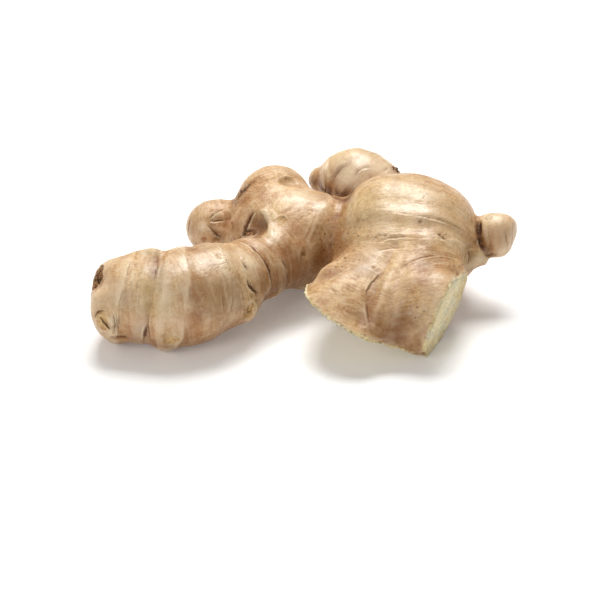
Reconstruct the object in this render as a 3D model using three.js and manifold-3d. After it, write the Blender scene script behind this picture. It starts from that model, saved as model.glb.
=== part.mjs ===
// A fresh ginger root: one hand of a ginger rhizome, about 160 mm long, lying on a table.
// The rhizome grew as one piece, so it is one closed solid. Its fingers are round tubes of changing
// radius along smooth curves, melted together where they meet, with growth rings, buds and scars.
// Two flat faces show where a front finger was cut away with a knife.
// It rests on three low spots: the left finger, the tip of the cut finger, and a swelling at the back.
// Millimetres, +Z up, +X along the hand. The origin is below the middle of its bounding box.

import * as THREE from "three";
import { ImprovedNoise } from "three/addons/math/ImprovedNoise.js";
import { mergeVertices } from "three/addons/utils/BufferGeometryUtils.js";
import Module from "manifold-3d";

// Driving dimensions
const CENTRE = new THREE.Vector3(1.86, 41.17, 0); // middle of the hand in the coordinates used below
const CELL = 2.8; // size of the grid that the skin is traced on
const MELT = 5; // how softly one finger runs into the next
const RING_WIDTH = 2.1; // half width of a raised growth ring
const RING_FADE = 4; // over which length a ring dies out at its reach
const RING_WANDER = { height: 1.6, length: 14 }; // how far a ring strays from its plane, and how often
const LUMPS = [{ height: 1.1, length: 17 }, { height: 0.35, length: 7 }]; // uneven growth of the skin
const FOOT_DEPTH = 0.7; // how much the three low points are pressed flat
const DEEPEST = 5; // nothing is traced further than this below the table
const GRID_LOW = new THREE.Vector3(-92, -68, -8); // low corner of the tracing grid
const GRID_SIZE = [184, 136, 68]; // size of the tracing grid
const ROUNDS = 3; // how many times the traced skin is evened out
const STEPS = 10; // straight steps to each stretch of a path
const SKIN_COLOUR = "#c9a177";

// Fingers. Each row of a path is x, y, z and radius.
// end gives the flat tip: the distance past the last point, and how softly its edge turns.
// wide stretches the round section along one direction.
const FINGERS = [
  {
    name: "left finger",
    path: [
      [-29, 18.3, 19, 15.2],
      [-37, 12.3, 18.6, 17.5],
      [-48, 7.6, 17.4, 17.5],
      [-61, 9, 16.8, 16.8],
      [-71, 10.5, 16, 15.4],
    ],
    end: { past: 6.5, soft: 9 },
    melt: 2.5,
  },
  {
    name: "neck",
    path: [
      [-2, 44, 21, 15],
      [-13, 33.5, 20, 12.6],
      [-26, 22, 18.5, 12.4],
    ],
  },
  {
    name: "middle",
    path: [
      [30, 48, 22, 17],
      [12, 50, 19.6, 17.4],
      [-3, 52, 19.4, 18.4],
      [-13, 53, 20, 17],
    ],
  },
  {
    name: "shoulder",
    path: [
      [-6, 55, 22, 16.5],
      [-9, 60, 24.5, 16],
      [-11, 66, 27, 15.4],
    ],
    melt: 7,
  },
  {
    name: "rear left finger",
    path: [
      [-12, 62, 18.5, 11],
      [-26, 63.5, 18.5, 10.6],
      [-35, 63, 18.5, 10.6],
    ],
    melt: 3,
  },
  {
    name: "body",
    path: [
      [35, 48, 25, 22],
      [42, 48, 25, 21.8],
      [47, 47, 24.4, 20.4],
    ],
    melt: 3.5,
  },
  {
    name: "front stub, left half",
    path: [
      [41, 44, 24, 17],
      [32, 26, 18, 13.6],
      [18, 6, 10.5, 15],
      [12, -6, 4, 15],
    ],
    wide: { along: [0.853, -0.26, -0.451], stretch: 1.4 },
    end: { past: 2, soft: 4 },
    melt: 7,
  },
  {
    name: "front stub, middle ridge",
    path: [
      [42, 40, 24, 17],
      [37, 22, 18.5, 15.5],
      [33, 5, 13, 13.5],
    ],
    melt: 7,
  },
  {
    name: "front stub, right half",
    path: [
      [45, 42, 25, 17],
      [45.5, 24, 20, 14.4],
      [47.5, 8.5, 15.6, 14.6],
      [47.5, 3, 15.6, 14.6],
    ],
    wide: { along: [0.391, 0.511, 0.765], stretch: 1.12 },
    melt: 6,
  },
  {
    name: "rear finger",
    path: [
      [38, 62, 22, 10],
      [29, 76, 24.5, 13.6],
      [21.6, 81, 27.5, 15.3],
      [14, 83, 28, 9],
      [7.5, 84.5, 28.2, 5.2],
    ],
    melt: 3.5,
  },
  {
    name: "right knob",
    path: [
      [62, 43, 26.2, 6.5],
      [66.5, 41.8, 26.8, 5],
      [69.4, 41.2, 27.2, 5.6],
      [72, 40.8, 27.5, 8.4],
      [75, 40, 27.6, 8.8],
    ],
    end: { past: 5.6, soft: 3 },
    melt: 2,
  },
  {
    name: "right nub",
    path: [
      [59, 35.5, 22, 7],
      [66.6, 32.8, 21.4, 3.2],
    ],
    melt: 1.5,
  },
];

// Growth rings. Each follows the plane through a point inside the finger, square to the way it faces,
// as far as it reaches from that point. It rises by a height, with a crease behind it. A negative
// height gives a crease with a raised edge behind it.
const RINGS = [
  { name: "left finger tip", through: [-65.5, 9.9, 15.9], faces: [-0.98, 0.17, 0.13], reach: 24, rise: 0.7 },
  { name: "left finger crease", through: [-54.5, 9, 17], faces: [-1, 0.04, 0.08], reach: 25, rise: -1.1 },
  { name: "left finger ridge", through: [-47, 9, 18], faces: [-0.96, -0.2, 0.2], reach: 25, rise: 0.9 },
  { name: "left finger root", through: [-35, 15.5, 20], faces: [-0.88, -0.38, 0.27], reach: 24, rise: 0.4 },
  { name: "neck", through: [-17, 28.8, 19.8], faces: [-0.63, -0.76, -0.15], reach: 18, rise: 0.7 },
  { name: "middle", through: [6.1, 50.4, 19.2], faces: [-0.94, 0.29, 0.15], reach: 24, rise: 0.8 },
  { name: "edge of the body", through: [12.5, 50, 20], faces: [-0.94, 0.27, 0.21], reach: 25, rise: -1.1 },
  { name: "body, upper", through: [44, 43.7, 25.3], faces: [-0.2, -0.73, -0.65], reach: 28, rise: 0.7 },
  { name: "body, lower", through: [41.4, 35.8, 24], faces: [-0.08, -0.69, -0.72], reach: 30, rise: 0.6 },
  {
    name: "crack of the stub",
    through: [29.8, 12.3, 14.9],
    faces: [-0.91, 0.41, 0.03],
    reach: 27, rise: -1,
  },
  {
    name: "ridge of the stub",
    through: [39.5, 10.5, 15.6],
    faces: [0.94, -0.32, -0.14],
    reach: 26, rise: 0.6,
  },
  { name: "rear finger", through: [15.4, 82.4, 28.5], faces: [-0.71, 0.48, 0.52], reach: 20, rise: -0.4 },
  { name: "rear finger, band", through: [9.8, 83.2, 28], faces: [-0.97, 0.2, 0], reach: 13, rise: 0.8 },
  { name: "rear finger, tip", through: [4.4, 84.5, 28.2], faces: [-0.98, 0.18, 0], reach: 10, rise: 0.6 },
  { name: "rear left finger", through: [-32, 63, 18.5], faces: [-1, 0, 0], reach: 17, rise: 0.6 },
  { name: "right knob", through: [78, 39.8, 28.1], faces: [-0.99, 0.14, -0.09], reach: 13, rise: -0.5 },
];

// Buds and swellings: middle, and half sizes along x, y and z
const BUDS = [
  { at: [-55.5, 14, 31.2], half: [5, 5, 4.6], melt: 2.5 },
  { at: [-21, 9, 12], half: [4, 4, 4], melt: 2 },
  { at: [27.5, 71.5, 13], half: [13, 13, 13 + FOOT_DEPTH], melt: 9 },
];

// Scars of stems and roots, pressed into the skin
const SCARS = [
  { at: [-18.5, 38.5, 32.5], half: [5, 5.5, 4.5], melt: 2.5 },
  { at: [-4.2, 60, 41.5], half: [5, 3.6, 3], melt: 2 },
  { at: [-77, 5, 28.5], half: [4, 5, 4.5], melt: 2.5 },
  { at: [-66.5, -7, 6.5], half: [5.5, 3, 3], melt: 2 },
];

// Knife cuts through the front finger: a point on the cut face and the way it faces.
// The first took the finger off from below, inside an outline seen from above.
// The second took a slice off its right side, over a half length and a half width.
const LOWER_CUT = {
  at: [25, -1, 10.47],
  faces: [-0.44, -0.12, -0.89],
  outline: [
    [-10, -26], [60, -26], [60, 44], [45, 42], [30, 37], [20, 30.5], [10, 25], [0, 20], [-10, 13],
  ],
};
const RIGHT_CUT = {
  at: [51.2, 1.5, 13.7],
  faces: [0.889, -0.406, -0.203],
  along: [0.391, 0.511, 0.765],
  half: [26, 24],
};
const CUT_DEPTH = 45;

// A smooth minimum: melts two surfaces together over a band of width k.
function melt(a, b, k) {
  const h = Math.max(k - Math.abs(a - b), 0) / k;
  return Math.min(a, b) - (h * h * k) / 4;
}

// The path of a finger as short straight steps, each with its place and radius.
function trace(finger) {
  const points = finger.path.map(([x, y, z]) => new THREE.Vector3(x, y, z).sub(CENTRE));
  const curve = new THREE.CatmullRomCurve3(points, false, "centripetal");
  const radii = new THREE.SplineCurve(finger.path.map(([, , , r], i) => new THREE.Vector2(i, r)));
  const count = STEPS * (points.length - 1);
  const steps = [];
  for (let i = 0; i <= count; i++) {
    steps.push({ at: curve.getPoint(i / count), radius: radii.getPoint(i / count).y });
  }
  return steps;
}

const TRACED = FINGERS.map((finger) => ({
  ...finger,
  steps: trace(finger),
  wideAxis: finger.wide && new THREE.Vector3(...finger.wide.along).normalize(),
}));

const grain = new ImprovedNoise();
const offset = new THREE.Vector3();
const chord = new THREE.Vector3();
const radial = new THREE.Vector3();

const RING_PLANES = RINGS.map(({ through, faces, reach, rise }) => ({
  through: new THREE.Vector3(...through).sub(CENTRE),
  faces: new THREE.Vector3(...faces).normalize(),
  reach,
  rise,
}));

// A smooth random height of one size of lump. The shift keeps the sizes from lining up.
function unevenness({ height, length }, p, shift) {
  return height * grain.noise(p.x / length + shift, p.y / length, p.z / length);
}

// How far the growth rings lift the skin at a point. They wander a little from their planes.
function ringHeight(p) {
  const wander = unevenness(RING_WANDER, p, 7);
  let height = 0;
  for (const { through, faces, reach, rise } of RING_PLANES) {
    const far = offset.subVectors(p, through).length();
    const front = (offset.dot(faces) + wander) / RING_WIDTH;
    const behind = front + 2;
    const fade = 1 - THREE.MathUtils.smoothstep(far, reach - RING_FADE, reach);
    height += fade * rise * (Math.exp(-front * front) - 0.8 * Math.exp(-behind * behind));
  }
  return height;
}

// Distance from a point to the skin of one finger, negative inside.
function fingerDistance(finger, p) {
  let best = Infinity;
  for (let i = 1; i < finger.steps.length; i++) {
    const from = finger.steps[i - 1];
    const to = finger.steps[i];
    chord.subVectors(to.at, from.at);
    const share = THREE.MathUtils.clamp(
      offset.subVectors(p, from.at).dot(chord) / chord.lengthSq(), 0, 1);
    radial.copy(offset).addScaledVector(chord, -share);
    if (finger.wideAxis) {
      const sideways = radial.dot(finger.wideAxis);
      radial.addScaledVector(finger.wideAxis, sideways * (1 / finger.wide.stretch - 1));
    }
    best = Math.min(best, radial.length() - THREE.MathUtils.lerp(from.radius, to.radius, share));
  }
  if (finger.end) {
    const last = finger.steps[finger.steps.length - 1].at;
    const before = finger.steps[finger.steps.length - 4].at;
    const tip = chord.subVectors(last, before).normalize().dot(offset.subVectors(p, last));
    best = -melt(-best, finger.end.past - tip, finger.end.soft);
  }
  return best;
}

// Distance to an egg shape, close enough near its surface.
function eggDistance(egg, p) {
  offset.set(...egg.at).sub(CENTRE).sub(p).divide(radial.set(...egg.half));
  return (offset.length() - 1) * Math.min(...egg.half);
}

// Distance to the skin of the whole hand.
function skinDistance(p) {
  let distance = Infinity;
  for (const finger of TRACED) {
    distance = melt(distance, fingerDistance(finger, p), finger.melt ?? MELT);
  }
  for (const bud of BUDS) distance = melt(distance, eggDistance(bud, p), bud.melt);
  for (const scar of SCARS) distance = -melt(-distance, eggDistance(scar, p), scar.melt);
  distance -= ringHeight(p);
  LUMPS.forEach((lump, n) => (distance -= unevenness(lump, p, 3 * n)));
  return Math.max(distance, -DEEPEST - p.z);
}

// Fills the spots where two stretches of skin would touch along a grid edge: a grid square with only
// two opposite corners inside gets its weaker outside corner turned inside.
function fillPinches(values, [nx, ny]) {
  const pairs = [[1, nx], [nx, nx * ny], [1, nx * ny]];
  let filled = true;
  while (filled) {
    filled = false;
    for (const [u, v] of pairs)
      for (let n = 0; n + u + v < values.length; n++) {
        const inside = values[n] < 0;
        if (inside !== values[n + u + v] < 0 || inside === values[n + u] < 0) continue;
        if (inside === values[n + v] < 0) continue;
        const outer = inside ? [n + u, n + v] : [n, n + u + v];
        outer.sort((a, b) => values[a] - values[b]);
        values[outer[0]] = -0.01;
        filled = true;
      }
  }
}

// Traces the skin on a grid: one vertex in each cell that the skin crosses, one square for each
// grid edge that it crosses.
function traceSkin() {
  const size = GRID_SIZE.map((length) => Math.ceil(length / CELL));
  const [nx, ny, nz] = size;
  const index = (i, j, k) => i + nx * (j + ny * k);
  const values = new Float32Array(nx * ny * nz);
  const p = new THREE.Vector3();
  for (let k = 0; k < nz; k++)
    for (let j = 0; j < ny; j++)
      for (let i = 0; i < nx; i++)
        values[index(i, j, k)] = skinDistance(p.set(i, j, k).multiplyScalar(CELL).add(GRID_LOW));
  fillPinches(values, size);

  const cellVertex = new Int32Array(nx * ny * nz).fill(-1);
  const vertices = [];
  const corners = [0, 1, 2, 3, 4, 5, 6, 7].map((c) => [c & 1, (c >> 1) & 1, c >> 2]);
  for (let k = 0; k < nz - 1; k++)
    for (let j = 0; j < ny - 1; j++)
      for (let i = 0; i < nx - 1; i++) {
        const middle = new THREE.Vector3();
        let crossings = 0;
        for (let a = 0; a < 8; a++)
          for (let axis = 0; axis < 3; axis++) {
            if (corners[a][axis]) continue;
            const b = a | (1 << axis);
            const va = values[index(i + corners[a][0], j + corners[a][1], k + corners[a][2])];
            const vb = values[index(i + corners[b][0], j + corners[b][1], k + corners[b][2])];
            if (va < 0 === vb < 0) continue;
            const at = new THREE.Vector3(...corners[a]);
            at.setComponent(axis, va / (va - vb));
            middle.add(at);
            crossings++;
          }
        if (!crossings) continue;
        middle.divideScalar(crossings).add(p.set(i, j, k)).multiplyScalar(CELL).add(GRID_LOW);
        cellVertex[index(i, j, k)] = vertices.length;
        vertices.push(middle);
      }

  const squares = [];
  for (let k = 1; k < nz - 1; k++)
    for (let j = 1; j < ny - 1; j++)
      for (let i = 1; i < nx - 1; i++)
        for (let axis = 0; axis < 3; axis++) {
          const step = [0, 0, 0];
          step[axis] = 1;
          const inside = values[index(i, j, k)] < 0;
          if (inside === values[index(i + step[0], j + step[1], k + step[2])] < 0) continue;
          const u = [0, 0, 0];
          const v = [0, 0, 0];
          u[(axis + 1) % 3] = 1;
          v[(axis + 2) % 3] = 1;
          const around = [
            cellVertex[index(i, j, k)],
            cellVertex[index(i - u[0], j - u[1], k - u[2])],
            cellVertex[index(i - u[0] - v[0], j - u[1] - v[1], k - u[2] - v[2])],
            cellVertex[index(i - v[0], j - v[1], k - v[2])],
          ];
          squares.push(inside ? around : around.reverse());
        }
  return { vertices, squares };
}

// Evens out the squares along the skin, and sets every vertex back on it.
function settle({ vertices, squares }, rounds) {
  const gradient = new THREE.Vector3();
  const probe = new THREE.Vector3();
  const nudge = 0.2;
  for (let round = 0; round < rounds; round++) {
    const sums = vertices.map(() => new THREE.Vector3());
    const counts = new Uint8Array(vertices.length);
    for (const square of squares)
      square.forEach((a, n) => {
        const b = square[(n + 1) % 4];
        sums[a].add(vertices[b]);
        sums[b].add(vertices[a]);
        counts[a]++;
        counts[b]++;
      });
    vertices.forEach((vertex, n) => {
      vertex.lerp(sums[n].divideScalar(counts[n]), 0.5);
      const here = skinDistance(vertex);
      for (const axis of [0, 1, 2]) {
        probe.copy(vertex).setComponent(axis, vertex.getComponent(axis) + nudge);
        gradient.setComponent(axis, (skinDistance(probe) - here) / nudge);
      }
      vertex.addScaledVector(gradient, -here / Math.max(gradient.lengthSq(), 0.3));
    });
  }
}

// The skin as a triangle mesh, each square split along its shorter diagonal.
function skinGeometry() {
  const skin = traceSkin();
  settle(skin, ROUNDS);
  const triangles = [];
  for (const [a, b, c, d] of skin.squares) {
    const [va, vb, vc, vd] = [a, b, c, d].map((n) => skin.vertices[n]);
    if (va.distanceTo(vc) < vb.distanceTo(vd)) triangles.push(a, b, c, a, c, d);
    else triangles.push(a, b, d, b, c, d);
  }
  const geometry = new THREE.BufferGeometry().setFromPoints(skin.vertices);
  geometry.setIndex(triangles);
  return geometry;
}

const wasm = await Module();
wasm.setup();

// A closed geometry as a solid that can be joined and cut.
function solid(geometry) {
  const bare = geometry.clone();
  bare.deleteAttribute("normal");
  bare.deleteAttribute("uv");
  const merged = mergeVertices(bare, 1e-4);
  return new wasm.Manifold(
    new wasm.Mesh({
      numProp: 3,
      vertProperties: new Float32Array(merged.attributes.position.array),
      triVerts: new Uint32Array(merged.index.array),
    }),
  );
}

// What the lower cut takes away: a block with upright sides and its top on the cut face.
function lowerBlock({ at, faces, outline }) {
  const shape = new THREE.Shape(outline.map(([x, y]) => new THREE.Vector2(x - CENTRE.x, y - CENTRE.y)));
  const block = new THREE.ExtrudeGeometry(shape, { depth: CUT_DEPTH, bevelEnabled: false });
  block.translate(0, 0, -CUT_DEPTH);
  const [px, py, pz] = at;
  const [nx, ny, nz] = faces;
  const spots = block.attributes.position;
  for (let n = 0; n < spots.count; n++) {
    if (spots.getZ(n) < -CUT_DEPTH / 2) continue;
    const x = spots.getX(n) + CENTRE.x;
    const y = spots.getY(n) + CENTRE.y;
    spots.setZ(n, pz - (nx * (x - px) + ny * (y - py)) / nz);
  }
  return block;
}

// What the right cut takes away: a straight block with its inner face on the cut.
function rightBlock({ at, faces, along, half }) {
  const out = new THREE.Vector3(...faces).normalize();
  const long = new THREE.Vector3(...along);
  long.addScaledVector(out, -long.dot(out)).normalize();
  const across = new THREE.Vector3().crossVectors(out, long);
  const block = new THREE.BoxGeometry(2 * half[0], 2 * half[1], CUT_DEPTH);
  block.translate(0, 0, CUT_DEPTH / 2);
  block.applyMatrix4(new THREE.Matrix4().makeBasis(long, across, out));
  block.translate(at[0] - CENTRE.x, at[1] - CENTRE.y, at[2] - CENTRE.z);
  return block;
}

let rhizome = solid(skinGeometry());
rhizome = rhizome.subtract(solid(lowerBlock(LOWER_CUT)));
rhizome = rhizome.subtract(solid(rightBlock(RIGHT_CUT)));
const table = new THREE.BoxGeometry(300, 300, 40).translate(0, 0, -20);
rhizome = rhizome.subtract(solid(table));

const made = rhizome.getMesh();
const geometry = new THREE.BufferGeometry();
geometry.setAttribute("position", new THREE.BufferAttribute(new Float32Array(made.vertProperties), 3));
geometry.setIndex(new THREE.BufferAttribute(new Uint32Array(made.triVerts), 1));
geometry.computeVertexNormals();

const skin = new THREE.MeshStandardMaterial({ color: SKIN_COLOUR, roughness: 0.5, metalness: 0 });
const root = new THREE.Mesh(geometry, skin);
root.name = "ginger_rhizome";

const hand = new THREE.Group();
hand.add(root);
export default hand;
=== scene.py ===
# %% [markdown]
# # A hand of fresh ginger
# A ginger root is one grown piece: short, swollen fingers with growth rings, buds and scars under a
# thin, dry, slightly shiny skin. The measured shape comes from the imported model. Blender gives it a
# finer surface: lips and creases at the rings, cracks, scars, wet-looking flesh on the knife cuts,
# and dry scales. All lengths that belong to the root are in millimetres and turned into metres last.

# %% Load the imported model
import math

import bpy
import numpy as np
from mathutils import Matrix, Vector, noise


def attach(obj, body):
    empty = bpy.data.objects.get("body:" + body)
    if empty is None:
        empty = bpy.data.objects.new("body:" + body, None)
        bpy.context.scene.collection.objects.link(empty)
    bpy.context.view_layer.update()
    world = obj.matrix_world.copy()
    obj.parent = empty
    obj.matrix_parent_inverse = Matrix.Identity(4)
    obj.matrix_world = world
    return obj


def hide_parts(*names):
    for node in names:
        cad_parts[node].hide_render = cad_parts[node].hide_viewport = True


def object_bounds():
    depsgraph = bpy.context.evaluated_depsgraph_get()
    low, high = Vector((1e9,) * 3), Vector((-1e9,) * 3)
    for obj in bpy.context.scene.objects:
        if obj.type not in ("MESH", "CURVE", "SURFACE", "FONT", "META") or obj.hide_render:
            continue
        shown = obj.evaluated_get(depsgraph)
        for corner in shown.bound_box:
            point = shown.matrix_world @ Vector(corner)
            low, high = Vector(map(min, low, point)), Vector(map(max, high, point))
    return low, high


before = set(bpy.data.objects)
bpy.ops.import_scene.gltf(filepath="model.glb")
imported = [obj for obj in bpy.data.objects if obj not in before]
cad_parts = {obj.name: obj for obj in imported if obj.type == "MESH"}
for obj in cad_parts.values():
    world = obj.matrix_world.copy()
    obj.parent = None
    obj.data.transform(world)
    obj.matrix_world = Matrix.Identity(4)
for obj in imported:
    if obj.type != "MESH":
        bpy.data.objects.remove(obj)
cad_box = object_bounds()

MM = 0.001
print("measured box, mm:", [round((b - a) / MM, 1) for a, b in zip(*cad_box)])

# %% [markdown]
# ## Camera
# The root was photographed from the front, about 30 degrees above the table, with a long lens. The
# camera is placed first, because some marks are put on the skin by sighting through it.

# %% Camera
VIEW_HEIGHT = math.radians(30)
VIEW_DISTANCE = 0.8
LENS = 124.7
SENSOR = 36
FRAME_PIXELS = 600
LOOKED_AT = Vector((-3.06, -2.67, 0)) * MM

to_camera = Vector((0, -math.cos(VIEW_HEIGHT), math.sin(VIEW_HEIGHT)))
bpy.ops.object.camera_add(location=LOOKED_AT + to_camera * VIEW_DISTANCE)
camera = bpy.context.object
camera.name = "camera"
camera.rotation_euler = to_camera.to_track_quat("Z", "Y").to_euler()
camera.data.lens = LENS
camera.data.sensor_width = SENSOR
bpy.context.scene.camera = camera
print("camera at", [round(c, 3) for c in camera.location])

# %% [markdown]
# ## Light and floor
# A bright, soft studio. The main lamp is a large soft box high up behind the root: its reflection
# gives the pale glints on the tops of the fingers, and it leaves their fronts darker. A weak lamp on
# the left and the pale room fill the shadows. The floor is plain white.

# %% Light and floor
WHITE = (1, 1, 1, 1)
WARM_WHITE = (1, 0.97, 0.92, 1)
ROOM_LIGHT = 0.34
FLOOR_SIZE = 6


def set_sockets(node, values):
    """Sets the sockets of a node, each by its name."""
    for name, value in values.items():
        node.inputs[name].default_value = value


def lamp(name, place, aim, size, power):
    """A square soft lamp at a place, aimed at a point, in metres and watts."""
    bpy.ops.object.light_add(type="AREA", location=place)
    made = bpy.context.object
    made.name = name
    made.rotation_euler = (Vector(place) - Vector(aim)).to_track_quat("Z", "Y").to_euler()
    made.data.shape = "SQUARE"
    made.data.size = size
    made.data.energy = power


lamp("top lamp", place=(0.02, 0.50, 0.98), aim=(0, 0.02, 0), size=0.62, power=14.5)
lamp("side lamp", place=(-0.6, -0.85, 0.7), aim=(-0.02, 0, 0.02), size=0.5, power=3.2)

room = bpy.data.worlds.new("pale room")
room.use_nodes = True
set_sockets(room.node_tree.nodes["Background"], {"Color": WARM_WHITE, "Strength": ROOM_LIGHT})
bpy.context.scene.world = room
bpy.context.scene.view_settings.view_transform = "Standard"

bpy.ops.mesh.primitive_plane_add(size=FLOOR_SIZE, location=(0, 0, 0))
floor = bpy.context.object
floor.name = "floor"
paper = bpy.data.materials.new("white_paper")
paper.use_nodes = True
set_sockets(paper.node_tree.nodes["Principled BSDF"], {
    "Base Color": (0.93, 0.93, 0.93, 1),
    "Roughness": 0.9,
    "Specular IOR Level": 0.1,
    "Emission Color": WHITE,
    "Emission Strength": 0.12,
})
floor.data.materials.append(paper)

# %% [markdown]
# ## How the root grew
# The fingers follow the same curves as the measured solid. Each row is a point on the middle of the
# finger and its radius, and CENTRE is the model's origin, all in the same millimetres. The rows
# tell every bit of skin how far along its finger it is and on which side, which is what the
# streaks, the faint rings and the fine wrinkles follow.

# %% Growth of the fingers
CENTRE = np.array([1.86, 41.17, 0.0])
FAR_AWAY = 1e9

GROWTH = {
    "left finger": [
        (-2, 44, 21, 15), (-13, 33.5, 20, 12.6), (-21, 25, 19.2, 13.5), (-29, 18.3, 19, 15.2),
        (-37, 12.3, 18.6, 17.5), (-48, 7.6, 17.4, 17.5), (-61, 9, 16.8, 16.8), (-71, 10.5, 16, 15.4),
        (-79, 11.5, 15.5, 11),
    ],
    "middle": [(30, 48, 22, 17), (12, 50, 19.6, 17.4), (-3, 52, 19.4, 18.4), (-13, 53, 20, 17)],
    "shoulder": [(0, 48, 16, 14), (-7, 57, 23, 16), (-11, 66, 27, 15.4), (-13, 76, 31, 8)],
    "rear left finger": [(-8, 61, 18.5, 10), (-26, 63.5, 18.5, 10.6), (-38, 63, 18.5, 9)],
    "left of the cut finger": [
        (44, 62, 33, 12), (42, 48, 26, 22), (32, 26, 18, 14.5), (18, 6, 10.5, 16), (12, -8, 4, 15),
    ],
    "right of the cut finger": [
        (44, 62, 33, 12), (42, 48, 26, 22), (45.5, 24, 20, 15), (47.5, 8.5, 15.6, 15), (48, -6, 12, 14),
    ],
    "rear finger": [
        (38, 62, 22, 10), (29, 76, 24.5, 13.6), (22, 81, 27.5, 15.4), (14, 83, 28.5, 10), (4, 85, 28.4, 5),
    ],
    "knob": [(60, 43.5, 26, 6), (68, 41.5, 27, 5.2), (72, 40.8, 27.5, 8.4), (84, 38.5, 28, 6)],
    "nub": [(58, 36, 22, 7), (66.6, 32.8, 21.4, 3.2), (72, 31, 21, 2.5)],
}


def smooth_path(rows, steps=7):
    """A smooth curve through the rows, as many short steps."""
    rows = np.array(rows, float)
    padded = np.vstack([2 * rows[0] - rows[1], rows, 2 * rows[-1] - rows[-2]])
    t = np.linspace(0, 1, steps, endpoint=False)[:, None]
    pieces = []
    for a, b, c, d in zip(padded, padded[1:], padded[2:], padded[3:]):
        pieces.append(
            0.5 * (2 * b + (c - a) * t + (2 * a - 5 * b + 4 * c - d) * t**2 + (3 * b - a - 3 * c + d) * t**3)
        )
    return np.vstack(pieces + [rows[-1:]])


def growth_of(points, rows):
    """For each point: distance to that finger's skin, distance along it, and the two radial ones."""
    path = smooth_path(rows)
    place, radius = path[:, :3] - CENTRE, path[:, 3]
    best = np.full(len(points), FAR_AWAY)
    found = np.zeros((len(points), 3))
    along = 0.0
    side = np.array([0.0, 0.0, 1.0])
    for a, b, ra, rb in zip(place, place[1:], radius, radius[1:]):
        length = np.linalg.norm(b - a)
        forward = (b - a) / length
        side = side - (side @ forward) * forward
        side /= np.linalg.norm(side)
        other = np.cross(forward, side)
        offset = points - a
        share = np.clip(offset @ forward / length, 0, 1)
        radial = offset - share[:, None] * (b - a)
        distance = np.linalg.norm(radial, axis=1) - (ra + share * (rb - ra))
        nearer = distance < best
        best[nearer] = distance[nearer]
        values = np.stack([along + offset @ forward, radial @ side, radial @ other], 1)
        found[nearer] = values[nearer]
        along += length
    return best, found


# %% [markdown]
# ## Growth rings
# Every ring is the scar of a scale leaf that once wrapped the finger. The larger ones are in the
# measured solid. Here they get a sharp edge: a thin raised lip with a narrow dark crease beside it.
# A ring is given by a point inside the finger, the way it faces, how far it reaches, how sharp it
# is, and whether its lip lies in front of the crease (1) or behind it (-1).

# %% Tables of the rings and of the knife cuts
RINGS = [
    ("left finger tip", (-65.5, 9.9, 15.9), (-0.98, 0.17, 0.13), 24, 0.38, 1),
    ("left finger crease", (-54.5, 9, 17), (-1, 0.04, 0.08), 25, 0.42, -1),
    ("left finger ridge", (-47, 9, 18), (-0.96, -0.2, 0.2), 25, 0.4, 1),
    ("left finger root", (-35, 15.5, 20), (-0.88, -0.38, 0.27), 24, 0.3, 1),
    ("neck", (-17, 28.8, 19.8), (-0.63, -0.76, -0.15), 18, 0.12, 1),
    ("middle", (6.1, 50.4, 19.2), (-0.94, 0.29, 0.15), 24, 0.12, 1),
    ("edge of the body", (12.5, 50, 20), (-0.94, 0.27, 0.21), 25, 0.12, -1),
    ("body, upper", (44, 43.7, 25.3), (-0.2, -0.73, -0.65), 28, 0.25, 1),
    ("body, lower", (41.4, 35.8, 24), (-0.08, -0.69, -0.72), 30, 0.25, 1),
    ("rear finger", (15.4, 82.4, 28.5), (-0.71, 0.48, 0.52), 20, 0.15, -1),
    ("rear finger, band", (9.8, 83.2, 28), (-0.97, 0.2, 0), 13, 0.8, 1),
    ("rear finger, tip", (4.4, 84.5, 28.2), (-0.98, 0.18, 0), 10, 0.8, 1),
    ("rear left finger", (-32, 63, 18.5), (-1, 0, 0), 17, 0.35, 1),
    ("right knob", (78, 39.8, 28.1), (0.99, -0.14, 0.09), 13, 0.35, 1),
    ("rear finger, back", (26, 88, 20), (-0.8, 0.55, 0.2), 18, 0.4, 1),
    ("rear finger, root", (34, 84, 18), (-0.7, 0.7, 0.1), 16, 0.3, 1),
    ("shoulder, back", (-12, 79, 26), (-0.2, 0.88, 0.42), 16, 0.4, -1),
    ("body, back", (46, 68, 22), (0.93, 0.1, 0.35), 20, 0.35, 1),
    ("body, back 2", (38, 68, 20), (0.9, 0.05, 0.4), 15, 0.25, 1),
    ("neck of the knob", (68, 41.5, 27), (0.96, -0.2, 0.1), 9, 0.5, 1),
]
CUTS = [
    # middle of the face, the way it faces, how far it reaches
    ((25, -1, 10.47), (-0.44, -0.12, -0.89), 34),
    ((51.2, 1.5, 13.7), (0.889, -0.406, -0.203), 28),
]
print(len(RINGS), "rings and", len(CUTS), "knife cuts")

# %% [markdown]
# ## The skin
# The measured solid is made of small flat facets. Modelling the skin again by hand would lose its
# shape, so a copy of the solid is merged, subdivided once, remeshed finely and evenly, and smoothed
# just enough to lose the facets. The knife cuts and the resting spots are kept out of the smoothing.

# %% Copy the solid and give it a fine, even mesh
MERGED_WITHIN = 0.02 * MM
SHARP_EDGE = math.radians(55)
VOXEL = 0.68 * MM


def make_active(piece):
    """Selects one piece and nothing else."""
    bpy.ops.object.select_all(action="DESELECT")
    piece.select_set(True)
    bpy.context.view_layer.objects.active = piece


def finish_with(piece, kind, **settings):
    """Adds a modifier and applies it."""
    make_active(piece)
    modifier = piece.modifiers.new(kind.lower(), kind)
    for name, value in settings.items():
        setattr(modifier, name, value)
    bpy.ops.object.modifier_apply(modifier=modifier.name)


def vectors(source, name):
    """One row of three numbers for every point."""
    flat = np.empty(len(source) * 3)
    source.foreach_get(name, flat)
    return flat.reshape(-1, 3)


def coordinates(piece):
    """The piece's points, in millimetres."""
    return vectors(piece.data.vertices, "co") / MM


def normals(piece):
    """The way the surface faces at every point."""
    return vectors(piece.data.vertex_normals, "vector")


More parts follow.
